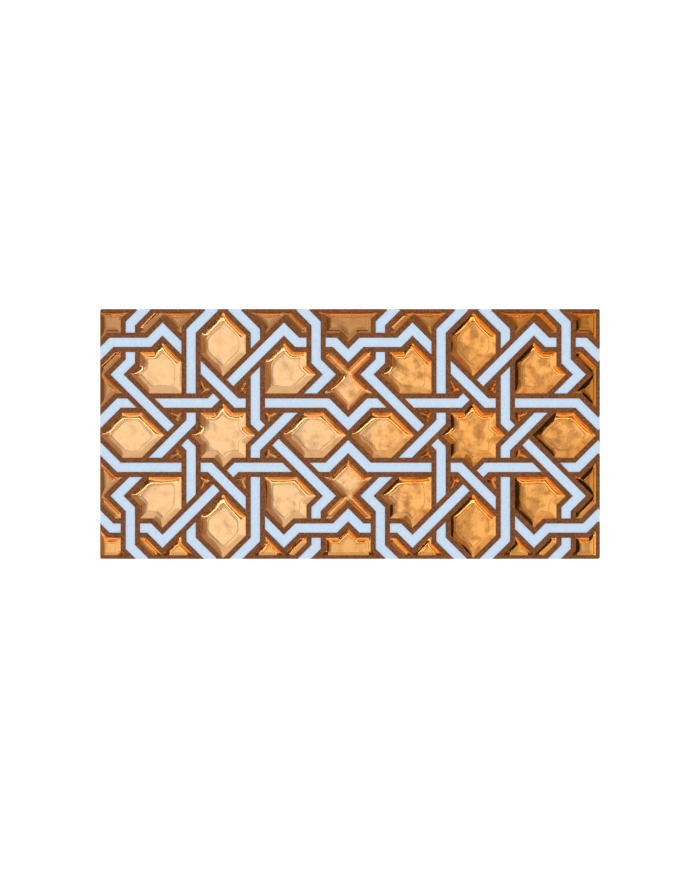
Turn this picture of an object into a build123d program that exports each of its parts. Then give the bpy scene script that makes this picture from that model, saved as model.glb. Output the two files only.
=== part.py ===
"""Relief tile: one pressed and fired clay piece with interlaced strapwork of eight-point stars.

The origin is in the middle of the back, +X runs along the long side and +Z points out of the
decorated face. The straps stand as bare ridges with a shallow channel of white glaze between
them, and the cells that they frame are pressed down into pits with sloping walls.
"""
import os
from math import floor, radians, sqrt, tan

from build123d import *

# The tile, in millimetres and degrees
star_pitch = 140.0      # from one star's middle to the next, one repeat of the pattern
stars_along = 2         # repeats along X
stars_across = 1        # repeats along Y
tile_thickness = 12.0
edge_round = 0.6        # radius along the upper edges
corner_round = 0.8      # radius of the four standing corners

# The strapwork
strap_offset = 18.0     # from a star's middle to the middle of each strap that frames it
glaze_width = 5.1       # the channel that holds the white glaze
ridge_width = 2.9       # the bare ridge on each side of the channel
channel_depth = 0.6
channel_slope = 30.0    # walls of the channels, from the vertical
press_shift_x = -1.0    # the stamped pattern sits a little off the middle of the clay
press_shift_y = -0.7
border_width = 1.3      # the rim along the stamp's own edge, which closes the pits there

# The pits, with walls that ease into the floor
pit_depth = 2.2
wall_slope = 38.0       # from the vertical
toe_rise = 0.5          # height of the gentler slope at the foot of the wall
toe_slope = 66.0        # from the vertical

# The key on the back, a grid of shallow square recesses that the mortar fills
key_pitch = 26.0
key_land = 6.0          # the flat rib between two recesses
key_margin = 6.0        # least width of the flat border round the grid
key_depth = 1.0
key_slope = 20.0        # walls of the recesses, from the vertical

tile_length = stars_along * star_pitch
tile_width = stars_across * star_pitch
half_pitch = star_pitch / 2
half_glaze = glaze_width / 2
half_strap = half_glaze + ridge_width
channel_floor = tile_thickness - channel_depth
channel_run = channel_depth * tan(radians(channel_slope))
pit_floor = tile_thickness - pit_depth
toe_top = pit_floor + toe_rise
wall_run = (tile_thickness - toe_top) * tan(radians(wall_slope))
toe_run = toe_rise * tan(radians(toe_slope))

# Places in one repeat, from the star's middle. Every strap runs level, upright or at 45 degrees.
star_tip = strap_offset * sqrt(2)
star_dent = star_tip - strap_offset
hexagon_tip = 3 * star_tip                      # where the hexagon's outer straps would cross
knot = half_pitch - 2 * strap_offset            # middle of the part star near each corner
corner_row = half_pitch - strap_offset
outer_crossing = star_tip + strap_offset

# One strap across the upper half of a repeat, with its first run in the repeats on either side
strap_path = [
    (star_pitch - hexagon_tip + strap_offset, strap_offset),
    (half_pitch, hexagon_tip - half_pitch),
    (hexagon_tip - strap_offset, strap_offset),
    (star_dent, strap_offset),
    (-knot, knot + star_tip),
    (-knot - star_dent, corner_row),
    (star_dent - half_pitch, corner_row),
    (-half_pitch, half_pitch - star_tip),
    (-half_pitch - star_dent, corner_row),
]

# Where this strap and its mirror image dive under another: the place and the other's direction
strap_dives = [
    (strap_offset, strap_offset, 90),
    (-strap_offset, outer_crossing, 90),
]
mirror_dives = [
    (corner_row, corner_row, 90),
    (0, star_tip, 135),
    (-outer_crossing, strap_offset, 135),
]


def bar_along(path, section):
    """Bar with an even section along a path of straight runs, mitred where it turns"""
    ahead = (Vector(path[1]) - Vector(path[0])).normalized()
    with BuildPart() as bar:
        with BuildLine():
            Polyline(*path)
        with BuildSketch(Plane(path[0], x_dir=ahead.rotate(Axis.Z, 90), z_dir=ahead)):
            Polygon(*section, align=None)
        sweep(transition=Transition.RIGHT)
    return bar.part


def even_section(*right_side):
    """Outline of a section that is even about its middle, from half widths and heights, the lowest first"""
    left_side = [(-half_width, height) for half_width, height in reversed(right_side)]
    return [*right_side, *left_side]


def walled_section(half_width):
    """Section of a standing ridge with the walls of the pits on either side"""
    wall_foot = half_width + wall_run
    return even_section((wall_foot + toe_run, pit_floor), (wall_foot, toe_top), (half_width, tile_thickness))


def channel_along(path, dives):
    """Glaze channel along a strap, broken where the strap dives under another"""
    groove = even_section((half_glaze - channel_run, channel_floor), (half_glaze, tile_thickness))
    ridge = even_section((half_strap + channel_run, channel_floor), (half_strap, tile_thickness))
    with BuildPart() as channel:
        add(bar_along(path, groove))
        for x, y, direction in dives:
            reach = Vector(2 * half_strap, 0).rotate(Axis.Z, direction)
            over_strap = [Vector(x, y) - reach, Vector(x, y) + reach]
            add(bar_along(over_strap, ridge), mode=Mode.SUBTRACT)
    return channel.part


# A strap and its mirror image as standing ridges
with BuildPart() as ridges:
    add(bar_along(strap_path, walled_section(half_strap)))
    mirror(about=Plane.YZ)

# The glaze channels along the two straps
with BuildPart() as channels:
    add(channel_along(strap_path, strap_dives))
    add(channel_along([(-x, y) for x, y in strap_path], mirror_dives))

# The border round the pattern, of which the tile keeps the inner half
with BuildPart() as border:
    end, side = tile_length / 2, tile_width / 2
    corners = [(end, side), (-end, side), (-end, -side), (end, -side)]
    for number, corner in enumerate(corners):
        add(bar_along([corners[number - 1], corner], walled_section(border_width)))

# What the press takes out of the face: all that lies between the ridges, and the channels in them
with BuildPart() as face_stamp:
    with Locations((press_shift_x, press_shift_y)):
        with Locations((0, 0, pit_floor)):
            Box(tile_length, tile_width, pit_depth, align=(Align.CENTER, Align.CENTER, Align.MIN))
        add(border.part, mode=Mode.SUBTRACT)
        with GridLocations(star_pitch, star_pitch, stars_along, stars_across), PolarLocations(0, 4):
            add(ridges.part, mode=Mode.SUBTRACT)
            add(channels.part)

# What it takes out of the back: a grid of recesses, as many as fit
with BuildPart() as key_stamp:
    with BuildSketch():
        keys_along = floor((tile_length - 2 * key_margin + key_land) / key_pitch)
        keys_across = floor((tile_width - 2 * key_margin + key_land) / key_pitch)
        with GridLocations(key_pitch, key_pitch, keys_along, keys_across):
            Rectangle(key_pitch - key_land, key_pitch - key_land)
    extrude(amount=key_depth, taper=key_slope)

with BuildPart() as relief_tile:
    Box(tile_length, tile_width, tile_thickness, align=(Align.CENTER, Align.CENTER, Align.MIN))
    fillet(relief_tile.edges().filter_by(Axis.Z), corner_round)
    fillet(relief_tile.faces().sort_by(Axis.Z)[-1].edges(), edge_round)
    add([face_stamp.part, key_stamp.part], mode=Mode.SUBTRACT)

relief_tile.part.label = "relief_tile"
os.makedirs("parts", exist_ok=True)
export_step(relief_tile.part, "parts/relief_tile.step")
print("relief tile:", len(relief_tile.faces()), "faces,", keys_along * keys_across, "key recesses")
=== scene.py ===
"""Relief tile: the fired and glazed finish on the pressed clay, laid flat and seen from above."""
from math import radians, sin

import bmesh
import bpy
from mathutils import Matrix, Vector, noise


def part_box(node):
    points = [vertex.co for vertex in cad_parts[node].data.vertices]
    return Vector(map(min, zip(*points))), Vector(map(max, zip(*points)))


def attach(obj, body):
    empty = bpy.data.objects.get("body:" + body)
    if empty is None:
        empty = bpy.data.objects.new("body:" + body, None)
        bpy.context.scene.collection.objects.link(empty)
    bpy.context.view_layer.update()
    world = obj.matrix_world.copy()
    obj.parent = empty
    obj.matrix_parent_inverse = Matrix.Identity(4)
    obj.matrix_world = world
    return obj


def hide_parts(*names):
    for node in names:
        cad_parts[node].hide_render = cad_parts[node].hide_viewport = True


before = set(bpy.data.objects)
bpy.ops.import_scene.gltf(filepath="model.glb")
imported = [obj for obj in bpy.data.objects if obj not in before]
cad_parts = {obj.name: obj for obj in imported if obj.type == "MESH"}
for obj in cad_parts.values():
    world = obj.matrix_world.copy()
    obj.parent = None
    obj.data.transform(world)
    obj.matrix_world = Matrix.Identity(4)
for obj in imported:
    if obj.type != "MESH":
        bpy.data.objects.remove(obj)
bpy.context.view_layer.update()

MM = 0.001

# The body, one piece of red clay pressed in a mould and fired. Its mesh starts as a merged copy
# of the solid, and its faces are sorted by slope and height into the finishes that they carry:
# bare clay at the sides and back, brown ridges, copper lustre in the pits, white in the channels.
tile_low, tile_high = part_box("relief_tile")
face_height = tile_high.z
pit_depth = 2.2 * MM
channel_depth = 0.6 * MM
edge_round = 0.6 * MM
wall_slope = radians(38)
toe_slope = radians(66)
channel_slope = radians(30)
cross_radius = 8 * MM
CLAY, RIDGE, LUSTRE, WHITE = range(4)

tile = bmesh.new()
tile.from_mesh(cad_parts["relief_tile"].data)
bmesh.ops.remove_doubles(tile, verts=tile.verts, dist=0.002 * MM)
tile.normal_update()


def finish_of(face):
    """The finish on a face of the solid, by its slope and height"""
    tilt = face.normal.z
    drop = face_height - face.calc_center_median().z
    if tilt < 0.05:
        return CLAY
    if tilt > 0.9999:
        return LUSTRE if drop > 2 * channel_depth else WHITE if drop > 0.5 * channel_depth else RIDGE
    if min(abs(tilt - sin(wall_slope)), abs(tilt - sin(toe_slope))) < 0.001:
        return LUSTRE
    return WHITE if abs(tilt - sin(channel_slope)) < 0.001 else RIDGE


def regions(finish):
    """Groups of joined faces that carry one finish"""
    left = {face for face in tile.faces if face.material_index == finish}
    groups = []
    while left:
        group = [left.pop()]
        for face in group:
            joined = {other for edge in face.edges for other in edge.link_faces} & left
            left -= joined
            group += joined
        groups.append(sorted(group, key=lambda face: face.index))
    return sorted(groups, key=lambda group: group[0].index)


def at_edge(group, reach=edge_round + 0.02 * MM):
    """Points of a group of faces that lie at the sides of the tile, as a rule on its rounded upper edge"""
    return list(dict.fromkeys(vert for face in group for vert in face.verts
                              if abs(vert.co.x) > tile_high.x - reach or abs(vert.co.y) > tile_high.y - reach))


def inner_radius(pit):
    """Radius of the circle that would fit in a pit, from its area and the length of its rim"""
    rim = [e for face in pit for e in face.edges if any(f.material_index != LUSTRE for f in e.link_faces)]
    return 2 * sum(face.calc_area() * face.normal.z for face in pit) / sum(edge.calc_length() for edge in rim)


def levelled(group):
    """A group of faces made one face at the height of the ridges round it"""
    return bmesh.ops.dissolve_faces(tile, faces=group)["region"][0]


def edges_between(first, second):
    """Edges where a face with one of the first finishes meets a face with one of the second"""
    found = []
    for edge in tile.edges:
        one, other = [face.material_index for face in edge.link_faces]
        if one in first and other in second or other in first and one in second:
            found.append(edge)
    return found


def rounded(edges, radius, segments):
    """Edges worn down or glazed over to a small radius"""
    bmesh.ops.bevel(tile, geom=edges, offset=radius, offset_type="OFFSET", segments=segments, profile=0.5,
                    affect="EDGES", clamp_overlap=True, material=-1)


for face in tile.faces:
    face.material_index = finish_of(face)
tile.faces.index_update()
for pit in regions(LUSTRE):
    tip = at_edge(pit)
    if tip and inner_radius(pit) > cross_radius and max((v.co - tip[0].co).length for v in tip) < 2 * edge_round:
        lowest = min(tip, key=lambda vert: vert.co.z)
        bmesh.ops.pointmerge(tile, verts=tip, merge_co=lowest.co)
glazed_edges = edges_between({LUSTRE}, {LUSTRE}) + edges_between({WHITE}, {WHITE})
bmesh.ops.dissolve_limit(tile, angle_limit=radians(0.5), verts=[], edges=glazed_edges)
tile.normal_update()
tile.faces.index_update()
pits = regions(LUSTRE)
channels = regions(WHITE)

# The pits, where the press sank the clay and the copper lustre pooled: a steep wall that eases into
# a floor which is never quite flat, with an outline rounder than the rim. The crosses and the cells
# cut by the tile's edge start from the walls of the solid.
wall_run = 4.6 * MM
small_run = 1.75 * MM
small_depth = 1.7 * MM
small_radius = 3 * MM
floor_cut = 1.5 * MM
kept_cut = 0.9 * MM
wave_height = 0.35 * MM
wave_length = 8 * MM
cut_depth_share = 0.6
low_border = tile_low.y + 2.4 * MM

kept_pits = []
wide_cells = []
small_cells = []
for pit in pits:
    radius = inner_radius(pit)
    if radius < small_radius and not at_edge(pit) and len(pit) == 8:
        small_cells.append(levelled(pit))
    elif radius > cross_radius and len(at_edge(pit)) < 2:
        wide_cells.append(levelled(pit))
    else:
        kept_pits.append(pit)


# Painted shade: the small deep pits are darkened with the thin lustre colour. The cells cut by the tile's edge get
# the same colour as real thin lustre.
thin_lustre_and_pit_shade = tile.verts.layers.float.new("thin_lustre_and_pit_shade")
for cell in small_cells:
    for vert in cell.verts:
        vert[thin_lustre_and_pit_shade] = 0.8


def sunk(faces, run, depth, rings):
    """Presses faces down, steeply at first, and gives the edges along every ring"""
    along = [edge for face in faces for edge in face.edges]
    for ring in range(rings):
        step = depth * ((1 - ring / rings) ** 2.2 - (1 - (ring + 1) / rings) ** 2.2)
        bmesh.ops.inset_individual(tile, faces=faces, thickness=run / rings, depth=-step, use_even_offset=True)
        along += [edge for face in faces for edge in face.edges]
    return along


def cross_cut(faces, spacing):
    """Cuts faces along a square grid and gives all the pieces"""
    pieces = list(dict.fromkeys(part for face in faces for part in (face, *face.edges, *face.verts)))
    for axis in (Vector((1, 0, 0)), Vector((0, 1, 0))):
        reach = [vert.co.dot(axis) / spacing for face in faces for vert in face.verts]
        for line in range(int(min(reach)) - 1, int(max(reach)) + 2):
            pieces = bmesh.ops.bisect_plane(tile, geom=pieces, dist=0.02 * MM, plane_no=axis,
                                            plane_co=axis * (line + 0.5) * spacing)["geom"]
        faces = [piece for piece in pieces if isinstance(piece, bmesh.types.BMFace)]
    return pieces


wide_along = sunk(wide_cells, wall_run, pit_depth, 8)
small_along = sunk(small_cells, small_run, small_depth, 4)
bmesh.ops.subdivide_edges(tile, edges=wide_along, cuts=9, use_grid_fill=True)
bmesh.ops.subdivide_edges(tile, edges=small_along, cuts=2, use_grid_fill=True)
for floor in wide_cells:
    cross_cut([floor], floor_cut)
for pit in kept_pits:
    if at_edge(pit, 3 * MM):
        for vert in dict.fromkeys(vert for face in pit for vert in face.verts):
            vert[thin_lustre_and_pit_shade] = 1.0
            if all(face.material_index == LUSTRE for face in vert.link_faces):
                vert.co.z = face_height - (face_height - vert.co.z) * cut_depth_share
    for part in cross_cut(pit, kept_cut):
        if isinstance(part, bmesh.types.BMVert) and -tile_high.y + edge_round < part.co.y < low_border - 0.4 * MM:
            part.co.z = face_height
        if isinstance(part, bmesh.types.BMFace) and part.calc_center_median().y < low_border:
            part.material_index = RIDGE

pit_points = sorted((vert for vert in tile.verts if all(face.material_index == LUSTRE for face in vert.link_faces)),
                    key=lambda vert: vert.co[:])
low_points = [vert for vert in pit_points if vert.co.z < face_height - 0.6 * pit_depth]
for smoothing in range(8):
    bmesh.ops.smooth_vert(tile, verts=low_points, factor=0.5, use_axis_x=True, use_axis_y=True)
for smoothing in range(9):
    bmesh.ops.smooth_vert(tile, verts=pit_points, factor=0.5, use_axis_z=True)
for vert in pit_points:
    sunk_share = min(1, (face_height - vert.co.z) / pit_depth)
    vert.co.z = min(face_height, vert.co.z + sunk_share * wave_height * noise.noise(vert.co / wave_length))

# The glaze channels, filled with a white glaze that draws up at the sides and stands a little higher
# in the middle.
channel_steps = [(0.35, -0.45), (0.45, -0.07), (0.7, 0.06), (0.6, 0.04)]
cut_floors = [face for channel in channels if at_edge(channel) for face in channel if face.normal.z > 0.9999]
white_bands = [levelled(channel) for channel in channels if not at_edge(channel)]
bmesh.ops.inset_individual(tile, faces=cut_floors, thickness=0.3 * MM, use_even_offset=True)
for inset, rise in channel_steps:
    bmesh.ops.inset_individual(tile, faces=white_bands, thickness=inset * MM, depth=rise * MM,
                               use_even_offset=True)

# The edges, all a little worn or softened by the glaze.
tile.normal_update()
rounded(edges_between({RIDGE}, {LUSTRE, WHITE}), 0.2 * MM, 2)
rounded(edges_between({CLAY}, {LUSTRE, WHITE}), 0.4 * MM, 2)
rounded([e for e in edges_between({CLAY}, {CLAY}) if e.calc_face_angle() > radians(12)], 0.3 * MM, 2)

for vert in tile.verts:
    vert.co = [max(low, min(high, part)) for part, low, high in zip(vert.co, tile_low, tile_high)]
tile.normal_update()
for face in tile.faces:
    face.smooth = True
glazed = bpy.data.meshes.new("glazed_tile")
tile.to_mesh(glazed)
glazed.set_sharp_from_angle(angle=radians(40))
tile.free()
piece = bpy.data.objects.new("glazed_tile", glazed)
bpy.context.scene.collection.objects.link(piece)
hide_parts("relief_tile")
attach(piece, "root")


def linear(colour):
    """An sRGB hex colour as linear values"""
    parts = [int(colour[place:place + 2], 16) / 255 for place in (1, 3, 5)]
    return [part / 12.92 if part <= 0.04045 else ((part + 0.055) / 1.055) ** 2.4 for part in parts] + [1]


def add_node(tree, kind, inputs, **settings):
    """A shader node with its settings, its values and the links that come in"""
    made = tree.nodes.new(kind)
    for name, value in settings.items():
        setattr(made, name, value)
    for name, value in inputs.items():
        if isinstance(value, bpy.types.NodeSocket):
            tree.links.new(value, made.inputs[name])
        else:
            made.inputs[name].default_value = value
    return made


def material(name):
    """An empty material with its tree, its surface and the place on the object"""
    made = bpy.data.materials.new(name)
    made.use_nodes = True
    glazed.materials.append(made)
    tree = made.node_tree
    return tree, tree.nodes["Principled BSDF"], add_node(tree, "ShaderNodeTexCoord", {}).outputs["Object"]


def ramp(tree, value, low, high, first, last):
    """A value eased from one number or colour to another between two limits"""
    eased = add_node(tree, "ShaderNodeMapRange", {"Value": value, "From Min": low, "From Max": high},
                     interpolation_type="SMOOTHSTEP").outputs[0]
    if isinstance(first, str):
        mixed = add_node(tree, "ShaderNodeMix", {0: eased, 6: linear(first), 7: linear(last)}, data_type="RGBA")
        return mixed.outputs[2]
    return add_node(tree, "ShaderNodeMapRange", {"Value": eased, "To Min": first, "To Max": last}).outputs[0]


def grain(tree, place, size, detail):
    """Noise with patches of about this size"""
    made = add_node(tree, "ShaderNodeTexNoise", {"Vector": place, "Scale": 1 / size, "Detail": detail})
    return made.outputs[0]


def bumped(tree, surface, height, depth):
    """A fine relief on a surface, with its height from crest to trough"""
    made = add_node(tree, "ShaderNodeBump", {"Height": height, "Distance": depth, "Strength": 1.0})
    tree.links.new(made.outputs[0], surface.inputs["Normal"])


tree, surface, place = material("fired_red_clay")
surface.inputs["Roughness"].default_value = 0.85
surface.inputs["Specular IOR Level"].default_value = 0.2
speckle = grain(tree, place, 0.7 * MM, 6)
tree.links.new(ramp(tree, speckle, 0.35, 0.65, "#94593C", "#B47753"), surface.inputs["Base Color"])
bumped(tree, surface, speckle, 0.06 * MM)

tree, surface, place = material("bare_brown_ridge")
surface.inputs["Roughness"].default_value = 0.75
surface.inputs["Specular IOR Level"].default_value = 0.1
speckle = grain(tree, place, 0.9 * MM, 6)
tree.links.new(ramp(tree, speckle, 0.35, 0.65, "#58351E", "#784D2E"), surface.inputs["Base Color"])
bumped(tree, surface, speckle, 0.05 * MM)

tree, surface, place = material("copper_lustre_glaze")
surface.inputs["Metallic"].default_value = 1.0
along, across, _ = add_node(tree, "ShaderNodeSeparateXYZ", {"Vector": place}).outputs
patches = grain(tree, place, 14 * MM, 3)
shifted = add_node(tree, "ShaderNodeMath", {0: patches, 1: 60 * MM, 2: along}, operation="MULTIPLY_ADD").outputs[0]
lustre = ramp(tree, shifted, 0, 90 * MM, "#DFB281", "#E19D54")
# Darker patches of lustre at random, made stronger towards the right as painted shade.
patches_and_right_shade = ramp(tree, grain(tree, place, 5 * MM, 5), 0.45, 0.7, 0.0, 0.75)
patches_and_right_shade = add_node(tree, "ShaderNodeMath", {0: patches_and_right_shade, 1: ramp(tree, along, -60 * MM, 60 * MM, 0.15, 1.0)},
                   operation="MULTIPLY").outputs[0]
patched_and_shaded = add_node(tree, "ShaderNodeMix", {0: patches_and_right_shade, 6: lustre, 7: linear("#B0712C")}, data_type="RGBA")
# Thin lustre on the edge cells and painted shade in the small pits. The colour turns more orange towards the right,
# and is darker towards the top as painted shade and lighter along the bottom edge as painted light.
thinning_and_shade = add_node(tree, "ShaderNodeAttribute", {}, attribute_name="thin_lustre_and_pit_shade").outputs["Fac"]
thinning_and_shade = add_node(tree, "ShaderNodeMath", {0: thinning_and_shade, 1: ramp(tree, across, -60 * MM, 50 * MM, 0.7, 1.0)},
                operation="MULTIPLY").outputs[0]
thin_and_shade_colour = ramp(tree, along, -60 * MM, 120 * MM, "#AC7C4F", "#B0702E")
low = ramp(tree, across, -50 * MM, -35 * MM, 1.0, 0.0)
thin_and_shade_colour = add_node(tree, "ShaderNodeMix", {0: low, 6: thin_and_shade_colour, 7: linear("#D0934C")}, data_type="RGBA").outputs[2]
thinned_and_shaded = add_node(tree, "ShaderNodeMix", {0: thinning_and_shade, 6: patched_and_shaded.outputs[2], 7: thin_and_shade_colour}, data_type="RGBA")
tree.links.new(thinned_and_shaded.outputs[2], surface.inputs["Base Color"])
bumped(tree, surface, grain(tree, place, 2.5 * MM, 2), 0.05 * MM)
tree.links.new(ramp(tree, grain(tree, place, 5 * MM, 3), 0.3, 0.7, 0.08, 0.2), surface.inputs["Roughness"])

tree, surface, place = material("white_tin_glaze")
surface.inputs["Roughness"].default_value = 0.3
surface.inputs["Specular IOR Level"].default_value = 0.35
speckle = grain(tree, place, 1.2 * MM, 5)
tree.links.new(ramp(tree, speckle, 0.3, 0.7, "#ACC4DE", "#B5CEE6"), surface.inputs["Base Color"])

# The white table that the tile lies on
ground = bpy.data.meshes.new("table")
table = bmesh.new()
bmesh.ops.create_grid(table, x_segments=1, y_segments=1, size=2)
bmesh.ops.translate(table, verts=table.verts, vec=(0, 0, -0.1 * MM))
table.to_mesh(ground)
table.free()
floor = bpy.data.objects.new("table", ground)
bpy.context.scene.collection.objects.link(floor)
white = bpy.data.materials.new("white_table")
white.use_nodes = True
tree = white.node_tree
surface = tree.nodes["Principled BSDF"]
surface.inputs["Base Color"].default_value = linear("#FAFAFA")
surface.inputs["Roughness"].default_value = 0.9
surface.inputs["Emission Color"].default_value = linear("#FFFFFF")
surface.inputs["Emission Strength"].default_value = 0.4
underside = add_node(tree, "ShaderNodeNewGeometry", {}).outputs["Backfacing"]
clear = add_node(tree, "ShaderNodeBsdfTransparent", {}).outputs[0]
one_sided = add_node(tree, "ShaderNodeMixShader", {0: underside, 1: surface.outputs[0], 2: clear})
tree.links.new(one_sided.outputs[0], tree.nodes["Material Output"].inputs["Surface"])
ground.materials.append(white)

# The room: a large soft light over the left, dimmer to the right and behind, pale near the horizon, a
# dark screen low on the right, and a long bright strip in front that draws lines along the walls.
world = bpy.data.worlds.new("room")
bpy.context.scene.world = world
world.use_nodes = True
tree = world.node_tree
toward = add_node(tree, "ShaderNodeTexCoord", {}).outputs["Generated"]
axes = add_node(tree, "ShaderNodeSeparateXYZ", {"Vector": toward})
right, back, up = axes.outputs


def combined(operation, first, second):
    """Two values put together by one step of arithmetic"""
    return add_node(tree, "ShaderNodeMath", {0: first, 1: second}, operation=operation).outputs[0]


def between(value, low, high, soft):
    """1 between two limits, with soft sides"""
    return combined("MULTIPLY", ramp(tree, value, low - soft, low, 0.0, 1.0),
                    ramp(tree, value, high, high + soft, 1.0, 0.0))


swirls = grain(tree, toward, 0.12, 2)
clouds = ramp(tree, swirls, 0.35, 0.65, 0.7, 1.42)
clouds = combined("MULTIPLY", clouds, ramp(tree, between(swirls, 0.47, 0.52, 0.02), 0, 1, 1.0, 0.65))
clouds = combined("MULTIPLY", clouds, ramp(tree, back, -0.12, 0.12, 1.15, 0.85))
over_right = ramp(tree, right, -0.03, 0.1, 0.0, 1.0)
at_back = ramp(tree, back, 0.25, 0.5, 0.0, 1.0)
ahead = combined("MINIMUM", back, combined("MULTIPLY", combined("ADD", back, right), 0.707))
facing = ramp(tree, back, -0.3, -0.2, 1.0, 0.0)
at_front = combined("MULTIPLY", facing, ramp(tree, ahead, -0.48, -0.35, 1.0, 0.0))
at_right = ramp(tree, right, 0.3, 0.6, 0.0, 1.0)
room = add_node(tree, "ShaderNodeMix", {0: over_right, 2: 1.42, 3: clouds}).outputs[0]
room = add_node(tree, "ShaderNodeMix", {0: at_back, 2: room, 3: 1.05}).outputs[0]
room = combined("MULTIPLY", room, ramp(tree, at_right, 0, 1, 1.0, 0.58))
room = combined("MULTIPLY", room, ramp(tree, at_front, 0, 1, 1.0, 0.3))
rim_of_light = between(up, 0.946, 0.968, 0.01)
room = combined("MULTIPLY", room, ramp(tree, rim_of_light, 0, 1, 1.0, 0.5))
inner_strip = combined("MULTIPLY", facing, between(ahead, -0.58, -0.53, 0.03))
outer_strip = combined("MULTIPLY", facing, between(ahead, -0.96, -0.80, 0.04))
outer_strip = combined("MULTIPLY", outer_strip, ramp(tree, ahead, -0.96, -0.78, 0.35, 1.0))
room = combined("ADD", room, combined("MULTIPLY", inner_strip, 4.5))
room = combined("ADD", room, combined("MULTIPLY", outer_strip, 2.2))
room = combined("MULTIPLY", room, ramp(tree, up, 0.05, 0.2, 0.25, 1.0))
warm = combined("MAXIMUM", combined("MULTIPLY", at_right, 0.65), combined("MULTIPLY", at_back, 0.25))
warm = combined("MAXIMUM", warm, at_front)
warm = combined("SUBTRACT", warm, combined("MULTIPLY", inner_strip, 0.6))
warm = combined("SUBTRACT", warm, combined("MULTIPLY", outer_strip, 0.35))
glossy = add_node(tree, "ShaderNodeLightPath", {}).outputs["Is Glossy Ray"]
tint = ramp(tree, warm, 0, 1, "#FFFFFF", "#F4B468")
tint = add_node(tree, "ShaderNodeMix", {0: glossy, 6: linear("#FFF6EF"), 7: tint}, data_type="RGBA").outputs[2]
background = tree.nodes["Background"]
tree.links.new(tint, background.inputs["Color"])
strength = add_node(tree, "ShaderNodeMix", {0: glossy, 2: 1.37, 3: room}).outputs[0]
tree.links.new(strength, background.inputs["Strength"])

# A dark screen that stands just outside the picture on the right and shows only in the lustre
card = bpy.data.meshes.new("screen")
sheet = bmesh.new()
corners = [(0.165, -0.40, 0), (0.165, 0.07, 0), (0.165, 0.07, 0.03), (0.165, -0.02, 0.08), (0.165, -0.40, 0.08)]
sheet.faces.new([sheet.verts.new(corner) for corner in corners])
sheet.to_mesh(card)
sheet.free()
screen = bpy.data.objects.new("screen", card)
bpy.context.scene.collection.objects.link(screen)
for rays in ("camera", "diffuse", "shadow", "transmission", "volume_scatter"):
    setattr(screen, "visible_" + rays, False)
black = bpy.data.materials.new("black_card")
black.use_nodes = True
black.node_tree.nodes["Principled BSDF"].inputs["Base Color"].default_value = linear("#0A0806")
black.node_tree.nodes["Principled BSDF"].inputs["Roughness"].default_value = 0.9
card.materials.append(black)

camera = bpy.data.cameras.new("camera")
camera_object = bpy.data.objects.new("camera", camera)
bpy.context.scene.collection.objects.link(camera_object)
bpy.context.scene.camera = camera_object
camera_height = 1.5
frame_height = 869 * 0.56 * MM
camera.lens = camera.sensor_width * (camera_height - face_height) / frame_height
camera_object.location = (0, -0.3 * MM, camera_height)
bpy.context.scene.view_settings.view_transform = "Standard"
